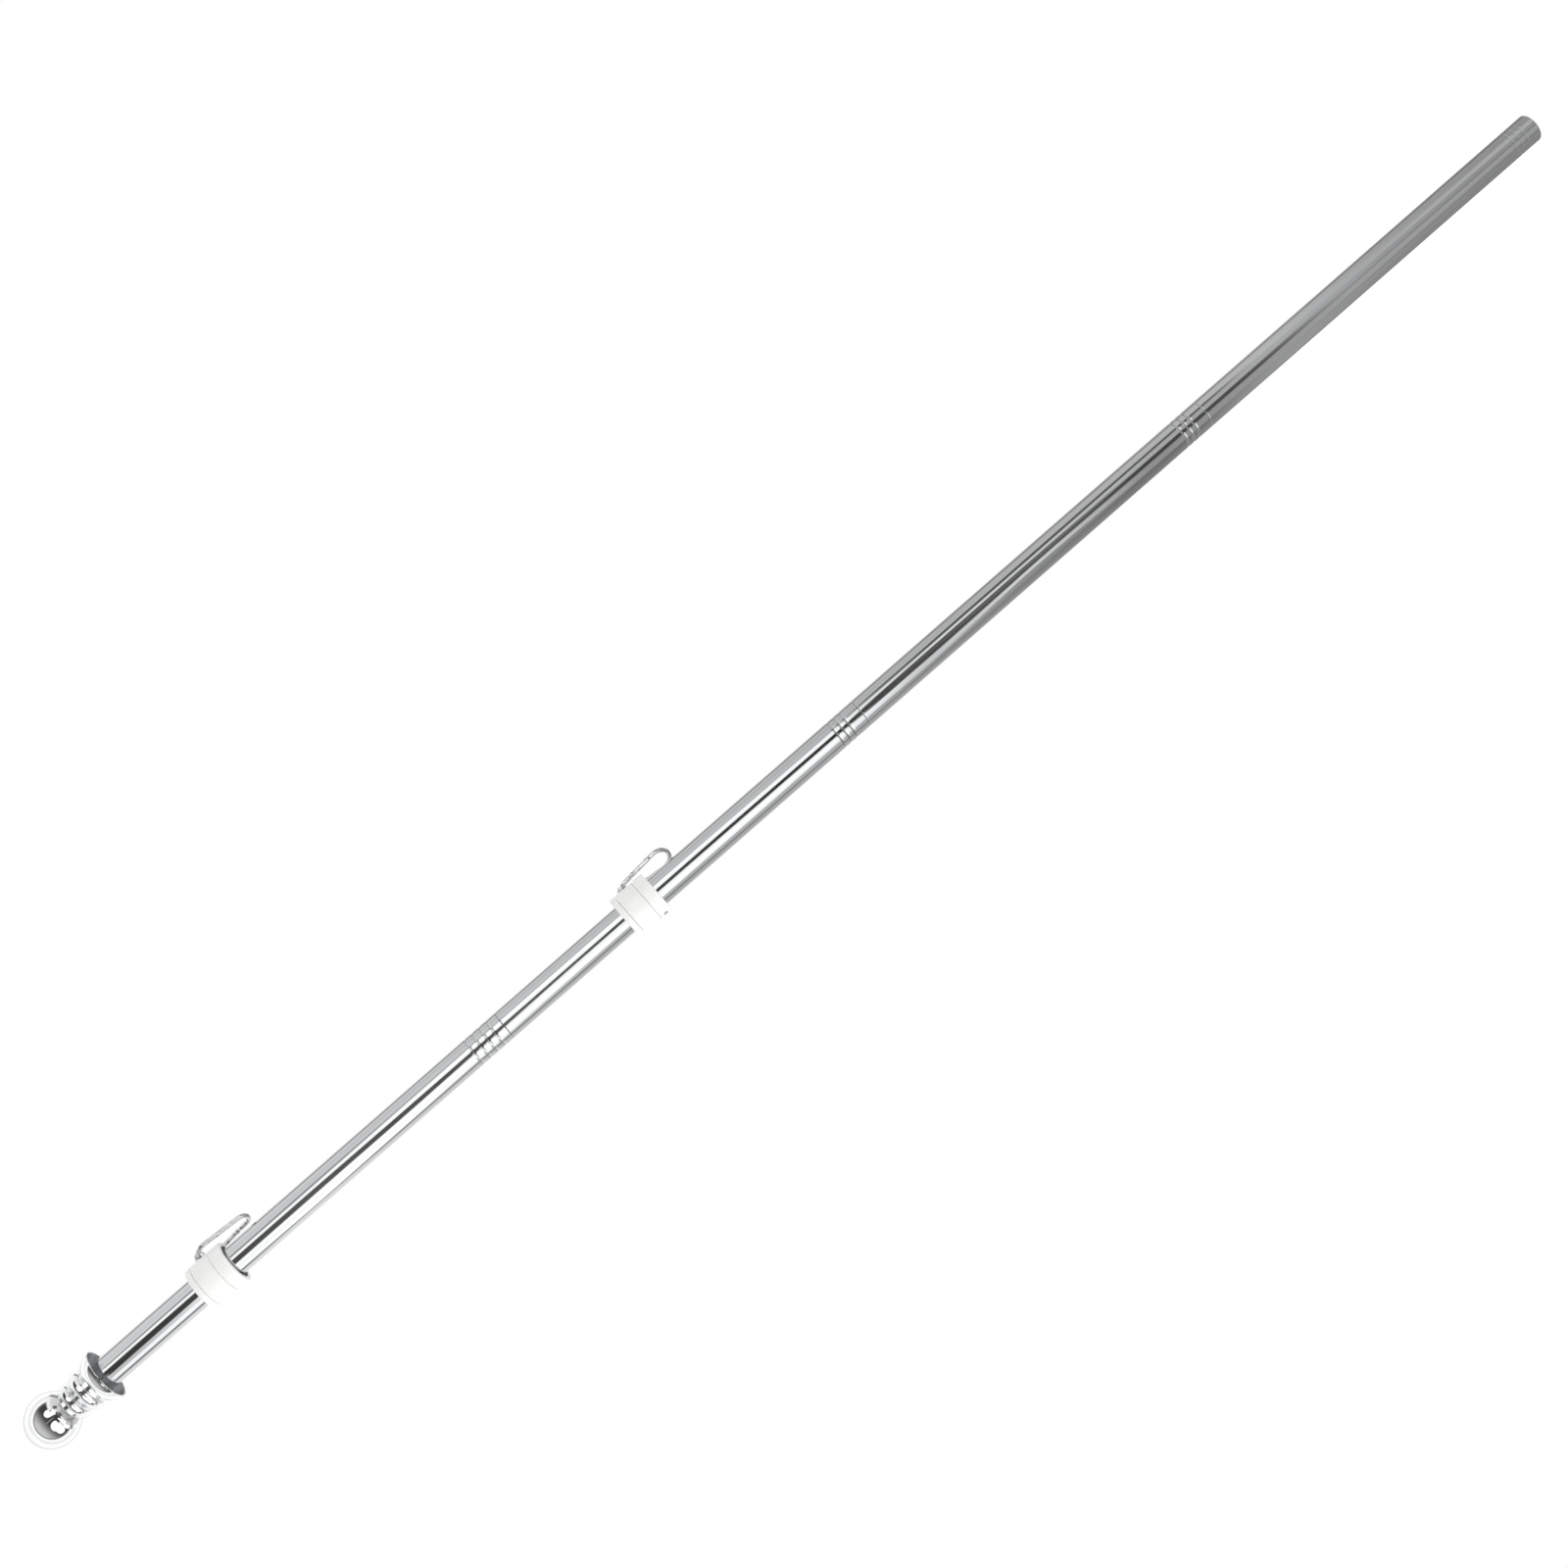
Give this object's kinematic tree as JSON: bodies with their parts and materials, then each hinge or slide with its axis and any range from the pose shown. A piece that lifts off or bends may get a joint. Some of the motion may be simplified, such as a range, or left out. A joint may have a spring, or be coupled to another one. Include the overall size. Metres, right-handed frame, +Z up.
{
  "type": "flagpole",
  "caption": "Sectional steel tube flagpole with a ball finial and swivelling plastic flag rings, each carrying a sprung snap hook for a flag's grommet.",
  "frame": {"origin": "centre of the open foot of the pole, in the plane of its end face", "axes": "+Z up the pole to the finial, +X towards the ears of the swivel rings"},
  "size_m": [0.0496, 0.045, 1.6272],
  "materials": {
    "tube_steel": "polished",
    "finial_chrome": "mirror polished",
    "ring_plastic": "satin white",
    "hook_zinc": "bright zinc plate",
    "insert_alloy": "as turned"
  },
  "bodies": {
    "pole": {"base_section": "tube_steel", "second_section": "tube_steel", "third_section": "tube_steel", "top_section": "tube_steel", "base_socket": "insert_alloy", "second_socket": "insert_alloy", "third_socket": "insert_alloy", "top_socket": "insert_alloy", "base_plug": "insert_alloy", "second_plug": "insert_alloy", "third_plug": "insert_alloy", "finial_plug": "insert_alloy", "finial_base": "finial_chrome", "finial_ball": "finial_chrome", "lower_bushing": "ring_plastic", "lower_collar": "ring_plastic", "lower_screw": "hook_zinc", "upper_bushing": "ring_plastic", "upper_collar": "ring_plastic", "upper_screw": "hook_zinc"},
    "lower_ring": {"lower_swivel": "ring_plastic"},
    "lower_snap": {"lower_hook": "hook_zinc", "lower_rivet": "hook_zinc"},
    "lower_snap_gate": {"lower_gate": "hook_zinc"},
    "upper_ring": {"upper_swivel": "ring_plastic"},
    "upper_snap": {"upper_hook": "hook_zinc", "upper_rivet": "hook_zinc"},
    "upper_snap_gate": {"upper_gate": "hook_zinc"}
  },
  "joints": [
    {"name": "lower_ring_spin", "type": "hinge", "parent": "pole", "child": "lower_ring", "pos_m": [0, 0, 1.0019], "axis": [0, 0, 1], "continuous": true},
    {"name": "lower_hook_swing", "type": "hinge", "parent": "lower_ring", "child": "lower_snap", "pos_m": [0.02169, 0.00305, 1.0019], "axis": [0.1392, -0.9903, 0], "range_deg": [0, 150]},
    {"name": "lower_gate_open", "type": "hinge", "parent": "lower_snap", "child": "lower_snap_gate", "pos_m": [0.02426, -0.00364, 0.98774], "axis": [0.9336, 0.3584, 0], "range_deg": [0, 25], "stiffness_Nm_per_rad": 0.05, "springref_deg": -22.92},
    {"name": "upper_ring_spin", "type": "hinge", "parent": "pole", "child": "upper_ring", "pos_m": [0, 0, 1.4419], "axis": [0, 0, 1], "continuous": true},
    {"name": "upper_hook_swing", "type": "hinge", "parent": "upper_ring", "child": "upper_snap", "pos_m": [0.02187, -0.00115, 1.4419], "axis": [-0.0523, -0.9986, 0], "range_deg": [0, 150]},
    {"name": "upper_gate_open", "type": "hinge", "parent": "upper_snap", "child": "upper_snap_gate", "pos_m": [0.02063, 0.00591, 1.40833], "axis": [0.9848, 0.1736, 0], "range_deg": [0, 25], "stiffness_Nm_per_rad": 0.05, "springref_deg": -22.92}
  ]
}
